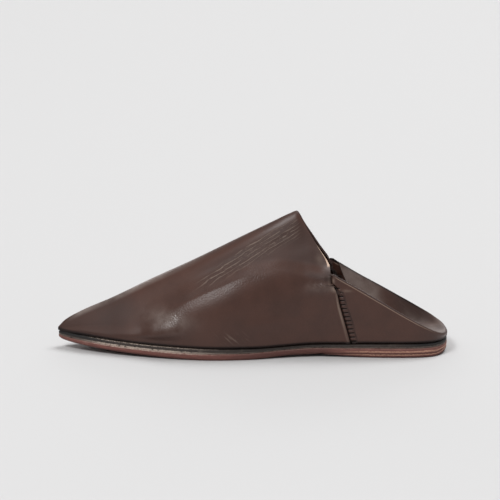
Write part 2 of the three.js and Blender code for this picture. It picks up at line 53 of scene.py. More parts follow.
MM = 0.001  # sizes below are in millimetres
NEAR, FAR = -1, 1  # outer (little-toe) side at -Y, inner side at +Y
GAP = 0.3  # between touching layers
WALL = 1.4  # leather of the upper
INSOLE_THICK = 1.2
SOLE_END_INSET = 0.5
LEDGE = 1.2
TURN_IN = 4.2
TURN_RADIUS = 1.8
TURN_HEIGHT = 3.2
FOLD_RADIUS = 1.6
FLAP_STEEPNESS = 2.6
TOE_X = -138.0
CORNER_X = 56.0  # where throat, side seam and fold meet
FLAP_FRONT_X = 86.0
HEEL_CENTRE_X = 112.0
LIFT_START_X = 50.0
INSOLE_FRONT_X = -124.0
ROOF, SIDE_WALL, LIP = 8, 6, 3  # parts of the upper's section, as columns
SIDE = ROOF + SIDE_WALL + LIP
FLAP_REST = 2 * GAP + INSOLE_THICK + WALL
SEAM_ROLL = 0.9  # how far the vamp's edge rolls up where it laps the quarter
TUCK = 2.6  # the quarter runs on this far under the vamp
FOLD_TUCK = 2.2  # and its fold this far
LAYER_ROWS, LAYER_COLUMNS = 420, 5
FULL_LIP_ROOM = 14  # half width from which the turned-in lip has its full size
TRIM_WOBBLE = 0.12  # unevenness of the sole layers' trimmed edges
RUNG_LOW, RUNG_HIGH = 11.6, 49.6  # heights between which the side seams are stitched
RUNG_LEAN = 0.35  # rise of a stitch's rung across the seam's band
RUNG_RADIUS = 0.42
RUNG_BOW = 0.25  # how far a rung's ends lie below its middle
RUNG_REACH = 0.42  # half length of a rung, as a share of the band's width
# Near-black tint for painted shade and for the darker stitch rungs.
SHADE_AND_DIRT = (0.006, 0.003, 0.003, 1)
# Pale tint of the painted sheen.
SHEEN_TINT = (0.345, 0.3, 0.275, 1)
STRIPE = (0.50, 0.27, 0.19, 1)


def table(columns, *rows):
    """A short table with named columns."""
    return dict(zip(columns.split(), np.array(rows, float).T))


# Outline and sections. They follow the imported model, but the shoulder stands up to 3 mm higher.
PLAN = table(
    "x outer inner",
    (-138, -3, 3), (-136.4, 0, 5.6), (-131, 4.4, 9.2), (-119, 12.2, 15.6), (-100, 22, 23.8),
    (-76, 31.2, 31.6), (-52, 37.8, 38.4), (-27, 40.9, 40.7), (0, 38.2, 35.6), (25, 32, 28.4),
    (45, 28.9, 26), (65, 29.9, 27.8), (87, 31.9, 30.8), (104, 32.5, 32), (118, 31.5, 31.2),
    (128, 27.6, 27.5), (134, 20.4, 20.4), (137.2, 10, 10), (138, 0, 0),
)
SOLE = table(
    "x under joint top",
    (-138, 7.4, 9.9, 12.6), (-134, 6.3, 9.2, 12), (-120, 4.5, 8.1, 11.1), (-100, 3, 7.1, 9.9),
    (-70, 1.5, 5.9, 8.7), (-45, 0.5, 5.2, 8.1), (-32, 0, 5, 7.8), (-8, 0, 5, 7.5),
    (8, 0.8, 5.5, 7.4), (26, 1.9, 6.3, 7.9), (42, 2.1, 6.8, 8.5), (58, 1.4, 6.7, 8.7),
    (72, 0.5, 6.9, 9.1), (84, 0, 7.1, 9.4), (127, 0, 7.2, 9.6), (134, 0.6, 7.2, 9.6),
    (138, 2, 7.2, 9.6),
)
LIFT = table("x thick", (50, 0.6), (62, 1.2), (84, 2.5), (138, 2.6))
RIDGE = table(
    "x ridge offset round start end",
    (-138, 14.4, 3, 0.9, 1, 1.5), (-133, 19.6, 3, 0.8, 1, 1.4), (-121.7, 26.2, 2.7, 0.7, 1, 1.3),
    (-99, 36.4, 1.7, 0.6, 1.05, 1.1), (-72, 49.8, 0.8, 0.5, 1.15, 0.9), (-43, 63.2, 0.3, 0.4, 1.3, 0.6),
    (-9, 80.1, 0, 0.32, 1.4, 0.55), (16, 92.4, 0, 0.3, 1.6, 0.6), (27, 97.7, 0, 0.3, 1.85, 0.65),
    (31, 99.2, 0, 0.3, 1.95, 0.7), (36, 94.6, 0, 0.3, 1.6, 0.75), (42, 88.4, 0, 0.3, 1.2, 0.85),
    (48, 79.4, 0, 0.3, 1.1, 0.95), (53, 70.6, 0, 0.3, 1, 1), (56, 66, 0, 0.3, 1, 1),
)
SHOULDER = table(
    "x height inset lean",
    (-138, 13.8, 0.2, 60), (-121.7, 17.4, 3.2, 58), (-99, 20.6, 5.6, 56), (-72, 27, 5.4, 54),
    (-46, 39.6, 6.8, 46), (-23, 50.2, 9.2, 44), (-2, 57.8, 9.5, 44), (20, 61, 7.2, 50),
    (38, 58.5, 4.4, 55), (50, 56.6, 2.2, 60), (56, 57.2, 1.4, 70), (60, 55.1, 1.2, 84),
    (87, 40, 0.7, 86), (109, 27.3, 0, 88), (126, 17.9, -0.7, 88), (134, 13.8, -0.7, 88),
    (138, 12.2, 0, 88),
)
# Side seam at heights: the vamp's back edge and the width of the stitched band behind it.
SEAM = table(
    "z edge width",
    (8, 69.2, 4.9), (25, 64.5, 5.4), (37, 61.1, 4.8), (48.5, 58.5, 3.9), (50.4, 57.6, 3.2),
    (52.4, 54.9, 2.5), (57.2, 54.7, 2),
)
THROAT = table("share x", (0, 31), (0.16, 36), (0.32, 42), (0.41, 47.2), (0.5, 52.6), (0.64, 54.3), (1, 54.7))
FLAP_EDGE = table("share x", (0, 56), (0.02, 60), (0.1, 61.3), (0.2, 63), (0.5, 72.5), (1, 86))
OUTSOLE_EDGE = table("share inset", (0, 1.1), (0.28, 0.2), (0.7, 0), (1, 0.25))
MIDSOLE_EDGE = table("share inset", (0, 0.25), (0.5, 0.1), (1, 0.9))
LIFT_EDGE = table("share inset", (0, 1.2), (0.5, 0.3), (1, 0.4))
INSOLE_EDGE = table("share inset", (0, 0), (1, 0.2))
# Soft folds laid over the upper: a run from (x1, z1) to (x2, z2), its half width and rise.
CREASES = table(
    "side x1 z1 x2 z2 width rise",
    (NEAR, -94, 11, -52, 21, 7, 1), (NEAR, -74, 15.5, -47, 21.5, 7.5, 1.7),
    (NEAR, -72, 33, -44, 44, 5, 0.4), (NEAR, -50, 42, -22, 53.5, 4, 1.1),
    (NEAR, -24, 53, 2, 62.5, 4, 0.9), (NEAR, -2, 61, 27, 71, 4.5, 0.6),
    (NEAR, 24, 68, 46, 74, 4, 0.4), (NEAR, 43, 66, 48, 74, 3, 0.3),
    (NEAR, -38, 54, 10, 79, 1.6, -0.3), (NEAR, -36, 57.5, 22, 88, 1.4, 0.25),
    (NEAR, -20, 60, 27, 85, 1.3, -0.25), (NEAR, -5, 69, 28, 88, 1.2, 0.2),
    (NEAR, 0, 66, 24, 79, 1.5, -0.25), (NEAR, -8, 22, 24, 26, 6, 0.5),
    (NEAR, 34, 48.5, 54, 49, 2.6, 0.7), (NEAR, 47, 50.2, 57, 49.6, 1.6, 0.3),
    (NEAR, 52, 46, 57, 44, 1.2, 0.2), (NEAR, 40, 46, 41, 54, 1.3, 0.3),
    (NEAR, 44.5, 45, 45, 53, 1.2, 0.3), (NEAR, 48, 45, 48.5, 53, 1.1, 0.35),
    (NEAR, 51.5, 45, 52, 52, 1, 0.35),
    (FAR, -70, 24, -40, 38, 6, 0.7), (FAR, -42, 38, -8, 54, 5.5, 0.9), (FAR, -10, 53, 24, 66, 5, 0.8),
    (FAR, -30, 58, 18, 82, 1.5, -0.3), (FAR, -22, 61, 24, 86, 1.4, 0.25), (FAR, 38, 54, 54, 56, 2.4, 0.4),
    (FAR, -12, 24, 18, 22, 6, 0.5), (FAR, 54, 52, 57, 50, 2, 0.5),
)
QUARTER_CREASES = table(
    "side x1 z1 x2 z2 width rise",
    (NEAR, 62, 44.5, 69.5, 50.5, 0.9, 0.3), (NEAR, 63, 40, 66, 47, 0.8, 0.15),
    (NEAR, 60, 49, 74, 46, 2.4, 0.3), (FAR, 60, 45, 70, 50, 1, 0.25), (FAR, 62, 48, 76, 45, 2.4, 0.3),
)
# Name, place (m), width, depth (m) and power (W) of the area lights, all aimed at the shoe's middle.
LIGHTS = (
    ("overhead", (1.6, 1.6, 4.6), 3.0, 3.0, 168),
    ("front_top", (-1.9, -2.7, 4.0), 1.4, 1.4, 130),
    ("back_wall", (-0.5, 5.0, 1.5), 5.0, 1.6, 60),
)
CAMERA_DISTANCE = 3.0  # metres, like the camera's aim
CAMERA_AIM = (-0.0018, 0, 0.0708)


# ---- the last: plan, sections and folds ----
def hermite(t, start, start_slope, end, end_slope):
    """Cubic between two values with given slopes, at t from 0 to 1."""
    return (
        (2 * t**3 - 3 * t**2 + 1) * start + (t**3 - 2 * t**2 + t) * start_slope
        + (3 * t**2 - 2 * t**3) * end + (t**3 - t**2) * end_slope
    )


def smooth(rows, output, at, given="x"):
    """Monotone cubic through a table's column."""
    xs, ys = rows[given], rows[output]
    gaps = np.diff(xs)
    chord = np.diff(ys) / gaps
    slope = np.concatenate([chord[:1], np.zeros(len(xs) - 2), chord[-1:]])
    for i in range(1, len(xs) - 1):
        before, after = chord[i - 1], chord[i]
        if before * after > 0:
            a, b = gaps[i - 1], gaps[i]
            slope[i] = 3 * (a + b) / ((2 * b + a) / before + (b + 2 * a) / after)
    at = np.clip(at, xs[0], xs[-1])
    i = np.clip(np.searchsorted(xs, at, side="left") - 1, 0, len(xs) - 2)
    t = (at - xs[i]) / gaps[i]
    return hermite(t, ys[i], gaps[i] * slope[i], ys[i + 1], gaps[i] * slope[i + 1])


def smooth_of(rows, output):
    return lambda x: smooth(rows, output, x)


def ramp(value, low, high):
    """0 up to low, 1 from high on and a smooth step between; it falls where high is below low."""
    t = np.clip((value - low) / (high - low), 0, 1)
    return t * t * (3 - 2 * t)


def bell(value, middle, width):
    """1 in the middle, fading to both sides."""
    return np.exp(-(((value - middle) / width) ** 2))


def rounded(share, rounding):
    """Rises from 0 to 1 in a straight line whose start is rounded."""
    return (np.hypot(share, rounding) - rounding) / (np.hypot(1, rounding) - rounding)


LAST = len(PLAN["x"]) - 1  # station of the back of the heel; 0 is the toe tip


def plan_point(station, side):
    """Sole edge at stations along one side: a centripetal spline through the plan's rows."""
    x, y = PLAN["x"], side * PLAN["outer" if side < 0 else "inner"]
    rows = np.array([(x[1], 2 * y[0] - y[1]), *zip(x, y), (x[-2], -y[-2])])
    i = np.minimum(np.floor(station).astype(int), LAST - 1)
    p0, p1, p2, p3 = (rows[i + k] for k in range(4))
    spans = ((p0, p1), (p1, p2), (p2, p3))
    d0, d1, d2 = (np.sqrt(np.linalg.norm(b - a, axis=-1))[..., None] for a, b in spans)
    m1 = d1 * ((p1 - p0) / d0 - (p2 - p0) / (d0 + d1) + (p2 - p1) / d1)
    m2 = d1 * ((p2 - p1) / d1 - (p3 - p1) / (d1 + d2) + (p3 - p2) / d2)
    return hermite((station - i)[..., None], p1, m1, p2, m2)


def inset_point(station, side, inset):
    """Sole edge moved inwards, square to itself."""
    station = np.asarray(station, float)
    inset = np.broadcast_to(inset, station.shape)
    step = 0.01
    here = plan_point(station, side)
    run = plan_point(np.minimum(station + step, LAST), side) - plan_point(np.maximum(station - step, 0), side)
    run = run / np.linalg.norm(run, axis=-1, keepdims=True)
    inwards = -side * np.stack([-run[..., 1], run[..., 0]], -1)
    inwards[station <= 0] = (1, 0)
    inwards[station >= LAST] = (-1, 0)
    here[station >= LAST, 1] = 0
    return here + inwards * inset[..., None]


def foot_inset(station):
    return LEDGE * np.clip(station / 4, 0, 1) * np.clip((LAST - station) / 4, 0, 1)


def foot_point(station, side, inset=0.0):
    return inset_point(station, side, foot_inset(np.asarray(station, float)) + inset)


STATIONS = np.linspace(0, LAST, 4001)
FOOT = {side: foot_point(STATIONS, side) for side in (NEAR, FAR)}


def foot_at(x, side):
    """Half width of the wall's foot and the station, at places along the shoe."""
    xs = np.maximum.accumulate(FOOT[side][:, 0]) + np.arange(len(STATIONS)) * 1e-9
    return np.interp(x, xs, FOOT[side][:, 1]), np.interp(x, xs, STATIONS)


LIFT_STATION = foot_at(LIFT_START_X, NEAR)[1]


def feather(x):
    """Height of the upper's lower edge, just above the midsole."""
    return smooth(SOLE, "top", x) + GAP


def wall_section(x, fall):
    """Plan inset and height of the wall, from the shoulder (0) down to the turned edge (1)."""
    foot, top = feather(x), smooth(SHOULDER, "height", x)
    inset = smooth(SHOULDER, "inset", x)
    belly = foot + np.minimum(TURN_HEIGHT, 0.5 * (top - foot))
    lean = np.radians(smooth(SHOULDER, "lean", x))
    reach = np.minimum(0.35 * (top - belly), 0.95 * np.abs(inset) / np.cos(lean) + 0.1)
    handle = inset - np.sign(inset) * reach * np.cos(lean), top - reach * np.sin(lean)
    hang = belly + 0.5 * (handle[1] - belly)
    keep = 1 - fall
    weights = keep**3, 3 * keep**2 * fall, 3 * keep * fall**2, fall**3
    across = weights[0] * inset + weights[1] * handle[0]
    height = weights[0] * top + weights[1] * handle[1] + weights[2] * hang + weights[3] * belly
    return across, height


def lip_section(x, share, room):
    """The turned-in lower edge: a rounded corner and a flat lip, shrunk near the toe tip."""
    foot = feather(x)
    belly = wall_section(x, 1.0)[1]
    shrink = np.minimum(1, room / FULL_LIP_ROOM)
    corner = 0.7  # share of the columns that the corner takes
    angle = np.clip(share / corner, 0, 1) * math.pi / 2
    along = np.clip((share - corner) / (1 - corner), 0, 1)
    across = shrink * (TURN_RADIUS * (1 - np.cos(angle)) + (TURN_IN - TURN_RADIUS) * along)
    # Near the tip both lips run past the middle and sink onto the sole, which closes the bottom.
    across = across + 0.8 * room * ramp(x, -122, -130) * along
    drop = 0.8 * GAP * ramp(x, -124, -132) * np.sin(angle)
    return across, belly - (belly - foot) * np.sin(angle) - drop


def roof_z(x, share):
    """Height of the vamp's roof between the ridge (0) and the shoulder (1)."""
    rounding, start, end = (smooth(RIDGE, key, x) for key in ("round", "start", "end"))
    eased = rounded(share, rounding)
    fallen = start * eased + (3 - 2 * start - end) * eased**2 + (start + end - 2) * eased**3
    top = smooth(SHOULDER, "height", x)
    return top + (smooth(RIDGE, "ridge", x) - top) * (1 - fallen)


def vamp_point(x, column, side):
    """Outer face of the vamp; column 0 is the ridge and SIDE the end of the turned lip."""
    middle = smooth(RIDGE, "offset", x)
    room = np.abs(foot_at(x, side)[0] - middle)
    shoulder = np.maximum(room - smooth(SHOULDER, "inset", x), 0)
    share = np.clip(column / ROOF, 0, 1)
    wall_in, wall_z = wall_section(x, np.clip((column - ROOF) / SIDE_WALL, 0, 1))
    lip_in, lip_z = lip_section(x, np.clip((column - ROOF - SIDE_WALL) / LIP, 0, 1), room)
    on_roof, on_wall = column <= ROOF, column <= ROOF + SIDE_WALL
    out = np.where(on_roof, shoulder * share, np.maximum(room - np.where(on_wall, wall_in, lip_in), 0))
    z = np.where(on_roof, roof_z(x, share), np.where(on_wall, wall_z, lip_z))
    return np.stack([x, middle + side * out, z], -1)


def vamp_back(column, side):
    """Where columns of the vamp end: on the throat edge, or below its corner on the side seam."""
    column = np.asarray(column, float)
    x = np.full(column.shape, CORNER_X)
    for _ in range(20):
        x = 0.5 * x + 0.5 * smooth(SEAM, "edge", vamp_point(x, column, side)[..., 2], "z")
    return np.where(column <= ROOF, smooth(THROAT, "x", np.clip(column / ROOF, 0, 1), "share"), x)


def flap_z(x, crest, across, share):
    """Height of the folded flap: it leaves the fold, falls steeply and rests on the insole."""
    rest = smooth(SOLE, "top", x) + FLAP_REST
    landing = np.maximum(2 * (crest - rest) / FLAP_STEEPNESS, 7)
    eased = rounded(np.minimum(across / landing, 1), 0.7 * FOLD_RADIUS / landing)
    return np.where(share >= 1, rest, rest + (crest - rest) * (1 - eased) ** 2)


def quarter_rows(part, share, along, side):
    """Rows of the quarter's visible face: part is lip, wall, fold or flap, share 0 to 1 in it."""
    if part == "lip":
        front = vamp_back(SIDE - share * LIP, side) - TUCK
    elif part == "wall":
        front = vamp_back(SIDE - LIP - share * SIDE_WALL, side) - TUCK
    elif part == "fold":
        front = CORNER_X - TUCK + (TUCK - FOLD_TUCK) * ramp(share, 0, 0.4)
    else:
        front = smooth(FLAP_EDGE, "x", share, "share") - FOLD_TUCK * np.clip(1 - share / 0.03, 0, 1)
    start = foot_at(front, side)[1]
    station = start + (LAST - start) * along
    x = foot_point(station, side)[..., 0]
    top, inset = smooth(SHOULDER, "height", x), smooth(SHOULDER, "inset", x)
    if part == "lip":
        across, z = lip_section(x, 1 - share, FULL_LIP_ROOM)
    elif part == "wall":
        across, z = wall_section(x, 1 - share)
    elif part == "fold":
        across = inset + FOLD_RADIUS * (1 - np.cos(share * math.pi / 2))
        z = top + FOLD_RADIUS * np.sin(share * math.pi / 2)
    else:
        edge = foot_point(station, side, inset + FOLD_RADIUS)
        centre = FLAP_FRONT_X + (HEEL_CENTRE_X - FLAP_FRONT_X) * (1 - np.maximum(1 - along, 0) ** 2.6)
        away = np.hypot(centre - edge[..., 0], edge[..., 1]) * share
        place = edge[..., 0] + (centre - edge[..., 0]) * share
        z = flap_z(place, top + FOLD_RADIUS, away, share)
        return np.stack([place, edge[..., 1] * (1 - share), z], -1)
    return np.concatenate([foot_point(station, side, across), z[..., None]], -1)


# ---- mesh helpers ----
def facing(points):
    """Unit normals of a grid of points, pointing out of the shoe on its -Y side."""
    normal = np.cross(np.gradient(points, axis=0), np.gradient(points, axis=1))
    length = np.linalg.norm(normal, axis=-1, keepdims=True)
    return normal / np.maximum(length, 1e-9)


def crease_rise(points, rows):
    """Rise of the soft folds at points, from the table's runs on each side of the shoe."""
    total = np.zeros(points.shape[:-1])
    x, side, z = points[..., 0], np.sign(points[..., 1]), points[..., 2]
    for on, x1, z1, x2, z2, width, rise in zip(*rows.values()):
        length = math.hypot(x2 - x1, z2 - z1)
        ux, uz = (x2 - x1) / length, (z2 - z1) / length
        along = (x - x1) * ux + (z - z1) * uz
        off = -(x - x1) * uz + (z - z1) * ux
        share = along / length
        fade = ramp(share, -0.15, 0.25) * ramp(share, 1.15, 0.75)
        total += rise * fade * bell(off, 0, width) * (side == on)
    return total


def begin(name):
    """Names the primitive that was just added and returns it."""
    piece = bpy.context.object
    piece.name = piece.data.name = name
    return piece


def choose(*pieces):
    """Selects only these pieces and makes the first one active."""
    bpy.ops.object.select_all(action="DESELECT")
    for piece in pieces:
        piece.select_set(True)
    bpy.context.view_layer.objects.active = pieces[0]


def edit(*steps):
    """Runs edit-mode operators on the whole active mesh."""
    bpy.ops.object.mode_set(mode="EDIT")
    bpy.ops.mesh.select_all(action="SELECT")
    for step in steps:
        step()
    bpy.ops.object.mode_set(mode="OBJECT")


def values_of(data, key, width=1, kind=float):
    """One property of all items of a mesh's collection, as an array."""
    values = np.empty(len(data) * width, kind)
    data.foreach_get(key, values)
    return values if width == 1 else values.reshape(-1, width)


def add_grid(name, points, **values):
    """A grid primitive laid onto rows of points, with named point values."""
    rows, columns = points.shape[:2]
    bpy.ops.mesh.primitive_grid_add(x_subdivisions=columns - 1, y_subdivisions=rows - 1, size=1)
    piece = begin(name)
    mesh = piece.data
    mesh.vertices.foreach_set("co", (points * MM).ravel())
    for key, value in values.items():
        attribute = mesh.attributes.new(key, "FLOAT", "POINT")
        attribute.data.foreach_set("value", value.astype(np.float32).ravel())
    return piece


def add_sheet(name, points, uv, values):
    """A sheet of the upper with metric UVs, closed at its poles."""
    piece = add_grid(name, points, **values)
    mesh = piece.data
    corner = values_of(mesh.loops, "vertex_index", kind=int)
    mesh.uv_layers[0].data.foreach_set("uv", (uv.reshape(-1, 2) * MM)[corner].ravel())
    edit(lambda: bpy.ops.mesh.remove_doubles(threshold=2e-6))
    return piece


def thicken(piece):
    """Gives a sheet the leather's thickness inwards, with material slots for lining and cut edge."""
    solidify = piece.modifiers.new("Solidify", "SOLIDIFY")
    solidify.thickness = WALL * MM
    solidify.offset = -1
    solidify.use_even_offset = False
    solidify.material_offset = 1
    solidify.material_offset_rim = 2
    bpy.ops.object.modifier_apply(modifier=solidify.name)
    return piece


def finish_piece(piece, materials, slot, *nodes, angle=50):
    """Gives a piece its materials and smooth shading, hangs it under the root body and hides the imported
    parts it replaces.
    """
    for material in materials:
        piece.data.materials.append(material)
    choose(piece)
    bpy.ops.object.shade_smooth_by_angle(angle=math.radians(angle))
    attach(piece, "root")
    if nodes:
        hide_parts(*nodes)


def distances(points, axis):
    """Distance along a grid of points, from its first row (axis 0) or column (axis 1)."""
    steps = np.linalg.norm(np.diff(points, axis=axis), axis=-1)
    run = np.cumsum(steps, axis=axis)
    return np.concatenate([np.zeros_like(run.take([0], axis)), run], axis)


# ---- materials ----
class Nodes:
    """Adds nodes to a tree by type and links them by socket name."""

    def __init__(self, tree):
        self.tree = tree

    def put(self, socket, value):
        """Links an output to a socket, or sets the socket's own value."""
        if hasattr(value, "is_linked"):
            self.tree.links.new(value, socket)
        else:
            socket.default_value = value

    def add(self, kind, sockets=None, **settings):
        node = self.tree.nodes.new(kind)
        for key, value in settings.items():
            setattr(node, key, value)
        for key, value in (sockets or {}).items():
            self.put(node.inputs[key], value)
        return node

    def math(self, operation, a, b=0.0, clamp=False):
        return self.add("ShaderNodeMath", {0: a, 1: b}, operation=operation, use_clamp=clamp).outputs[0]

    def times(self, value, *factors):
        for factor in factors:
            value = self.math("MULTIPLY", value, factor)
        return value

    def plus(self, value, *terms):
        for term in terms:
            value = self.math("ADD", value, term)
        return value

    def minus(self, a, b):
        return self.math("SUBTRACT", a, b)

    def mix(self, factor, a, b):
        return self.add("ShaderNodeMix", {0: factor, 6: a, 7: b}, data_type="RGBA").outputs[2]

    def ramp(self, value, low, high):
        sockets = {0: value, 1: low, 2: high, 3: 0.0, 4: 1.0}
        return self.add("ShaderNodeMapRange", sockets, interpolation_type="SMOOTHSTEP").outputs[0]

    def noise(self, vector, scale, detail=3.0, roughness=0.5):
        sockets = {"Vector": vector, "Scale": scale, "Detail": detail, "Roughness": roughness}
        return self.add("ShaderNodeTexNoise", sockets).outputs["Fac"]

    def stretched(self, vector, scale):
        return self.add("ShaderNodeMapping", {"Vector": vector, "Scale": scale}).outputs[0]

    def turned(self, vector, degrees):
        rotation = (0, math.radians(degrees), 0)
        return self.add("ShaderNodeMapping", {"Vector": vector, "Rotation": rotation}).outputs[0]

    def place(self):
        return self.add("ShaderNodeTexCoord").outputs["Object"]

    def x_mm(self, place):
        return self.times(self.add("ShaderNodeSeparateXYZ", {0: place}).outputs[0], 1 / MM)

    def value(self, name):
        return self.add("ShaderNodeAttribute", attribute_name=name).outputs["Fac"]


def rgb(color, strength=1.0):
    return (*(strength * channel for channel in color), 1.0)


def new_material(name):
    material = bpy.data.materials.new(name)
    material.use_nodes = True
    material.node_tree.nodes.clear()
    nodes = Nodes(material.node_tree)
    shader = nodes.add("ShaderNodeBsdfPrincipled")
    output = nodes.add("ShaderNodeOutputMaterial")
    material.node_tree.links.new(shader.outputs[0], output.inputs[0])
    return material, nodes, shader


def surface(nodes, shader, color, roughness, height, strength=0.7, distance=0.2, specular=0.5):
    """Gives a shader its colour, roughness, gloss and a bump of a distance in mm."""
    sockets = {"Height": height, "Strength": strength, "Distance": distance * MM}
    nodes.put(shader.inputs["Base Color"], color)
    nodes.put(shader.inputs["Roughness"], roughness)
    nodes.put(shader.inputs["Normal"], nodes.add("ShaderNodeBump", sockets).outputs[0])
    shader.inputs["Specular IOR Level"].default_value = specular


def grain_group():
    """Leather grain: pebbles, pores and soft unevenness, as one height and one mottling value."""
    group = bpy.data.node_groups.new("leather_grain", "ShaderNodeTree")
    group.interface.new_socket("Vector", in_out="INPUT", socket_type="NodeSocketVector")
    for name, way in (("Pebble", "INPUT"), ("Height", "OUTPUT"), ("Mottle", "OUTPUT")):
        group.interface.new_socket(name, in_out=way, socket_type="NodeSocketFloat")
    nodes = Nodes(group)
    start = nodes.add("NodeGroupInput")
    vector, pebble = start.outputs["Vector"], start.outputs["Pebble"]
    fine = nodes.noise(vector, 2600.0, 2.0)
    cells = nodes.add("ShaderNodeTexVoronoi", {"Vector": vector, "Scale": 1000.0}, feature="SMOOTH_F1")
    pebbles = nodes.times(nodes.minus(0.7, cells.outputs["Distance"]), pebble)
    soft = nodes.noise(vector, 90.0, 2.0)
    height = nodes.plus(nodes.times(fine, 0.12), pebbles, nodes.times(soft, 0.25))
    mottle = nodes.noise(vector, 45.0, 5.0, 0.6)
    nodes.add("NodeGroupOutput", {"Height": height, "Mottle": mottle}, is_active_output=True)


def grain(nodes, vector, pebble):
    """Height and mottling of the leather grain; pebble is how strong its pebbles are."""
    node = nodes.add("ShaderNodeGroup", node_tree=bpy.data.node_groups["leather_grain"])
    nodes.put(node.inputs["Vector"], vector)
    nodes.put(node.inputs["Pebble"], pebble)
    return node.outputs["Height"], node.outputs["Mottle"]


def upper_leather(settings):
    """Smooth dark brown leather: wrinkle lines where it was creased, scuffs, a tan cut edge, and painted
    highlights, sheen and shade.
    """
    material, nodes, shader = new_material("upper_leather")
    times, plus, fade, noise = nodes.times, nodes.plus, nodes.ramp, nodes.noise
    place = nodes.place()
    creased, dull_and_shade, dirt_and_shade = (nodes.value(name) for name in ("creased", "dull_and_shade", "dirt_and_shade"))
    height, mottle = grain(nodes, place, plus(times(nodes.value("pebbled"), 0.75), 0.3))
    along = nodes.stretched(nodes.turned(place, 31), (0.28, 0.3, 1.0))
    wave = nodes.add(
        "ShaderNodeTexWave",
        {"Vector": along, "Scale": 145.0, "Distortion": 4.0, "Detail": 2.0, "Detail Scale": 1.8},
        bands_direction="Z",
    ).outputs["Fac"]
    broken = fade(noise(along, 420.0, 3.0, 0.6), 0.36, 0.5)
    lines = times(fade(wave, 0.80, 0.98), broken, creased)
    speckle = fade(noise(along, 1500.0, 2.0, 0.6), 0.52, 0.7)
    across = nodes.stretched(nodes.turned(place, -42), (0.1, 0.3, 1.0))
    scratch = fade(noise(across, 700.0, 2.0, 0.6), 0.56, 0.72)
    tan = nodes.mix(noise(place, 1800.0, 4.0, 0.7), (0.42, 0.27, 0.19, 1), (0.85, 0.64, 0.50, 1))
    dark, light = rgb(settings.leather_color, 0.88), rgb(settings.leather_color, 1.14)
    pale = rgb(settings.wear_and_highlight_color)
    color = nodes.mix(fade(mottle, 0.3, 0.7), dark, light)
    for amount, tint in (
        (times(speckle, creased, 0.22), pale),
        (times(lines, 0.65), pale),
        (times(scratch, nodes.value("scuffed"), 0.35), pale),
        # Pale painted highlights on the seam edge, the fold's crest and the puckers.
        (times(nodes.value("wear_and_highlight"), 0.6), pale),
        # Painted shade: dull places are darkened.
        (nodes.math("MULTIPLY", dull_and_shade, 0.28, clamp=True), SHADE_AND_DIRT),
        # Painted sheen and highlight.
        (times(nodes.value("painted_sheen"), fade(mottle, 0.2, 0.75), 0.5), SHEEN_TINT),
        # Painted shade, and darker stitch rungs at the side seam.
        (times(dirt_and_shade, 0.85), SHADE_AND_DIRT),
        (nodes.value("raw"), tan),
    ):
        color = nodes.mix(amount, color, tint)
    rough = plus(
        times(mottle, 0.16), settings.leather_roughness - 0.08,
        times(dirt_and_shade, 0.3), times(dull_and_shade, 0.22),
    )
    height = plus(height, times(lines, 1.3))
    surface(nodes, shader, color, rough, height, 0.8, 0.22, 0.45)
    return material


def lining_leather():
    """Unfinished inner face of the upper, matt and darker."""
    material, nodes, shader = new_material("upper_lining")
    height, mottle = grain(nodes, nodes.place(), 0.25)
    color = nodes.mix(mottle, (0.030, 0.019, 0.015, 1), (0.055, 0.036, 0.028, 1))
    surface(nodes, shader, color, 0.75, height, 0.8)
    return material


def cut_edge(settings):
    """Cut edge of the leather: dyed dark, with the dye gone back to tan along the lower throat."""
    material, nodes, shader = new_material("upper_cut_edge")
    place = nodes.place()
    x = nodes.x_mm(place)
    wear_and_highlight = nodes.times(nodes.ramp(x, 43, 48), nodes.ramp(x, CORNER_X + 0.2, CORNER_X - 1.5))
    fibres = nodes.noise(place, 1800.0, 4.0, 0.7)
    tan = nodes.mix(fibres, (0.30, 0.17, 0.11, 1), (0.72, 0.46, 0.32, 1))
    surface(nodes, shader, nodes.mix(wear_and_highlight, rgb(settings.leather_color, 0.8), tan), 0.7, fibres)
    return material


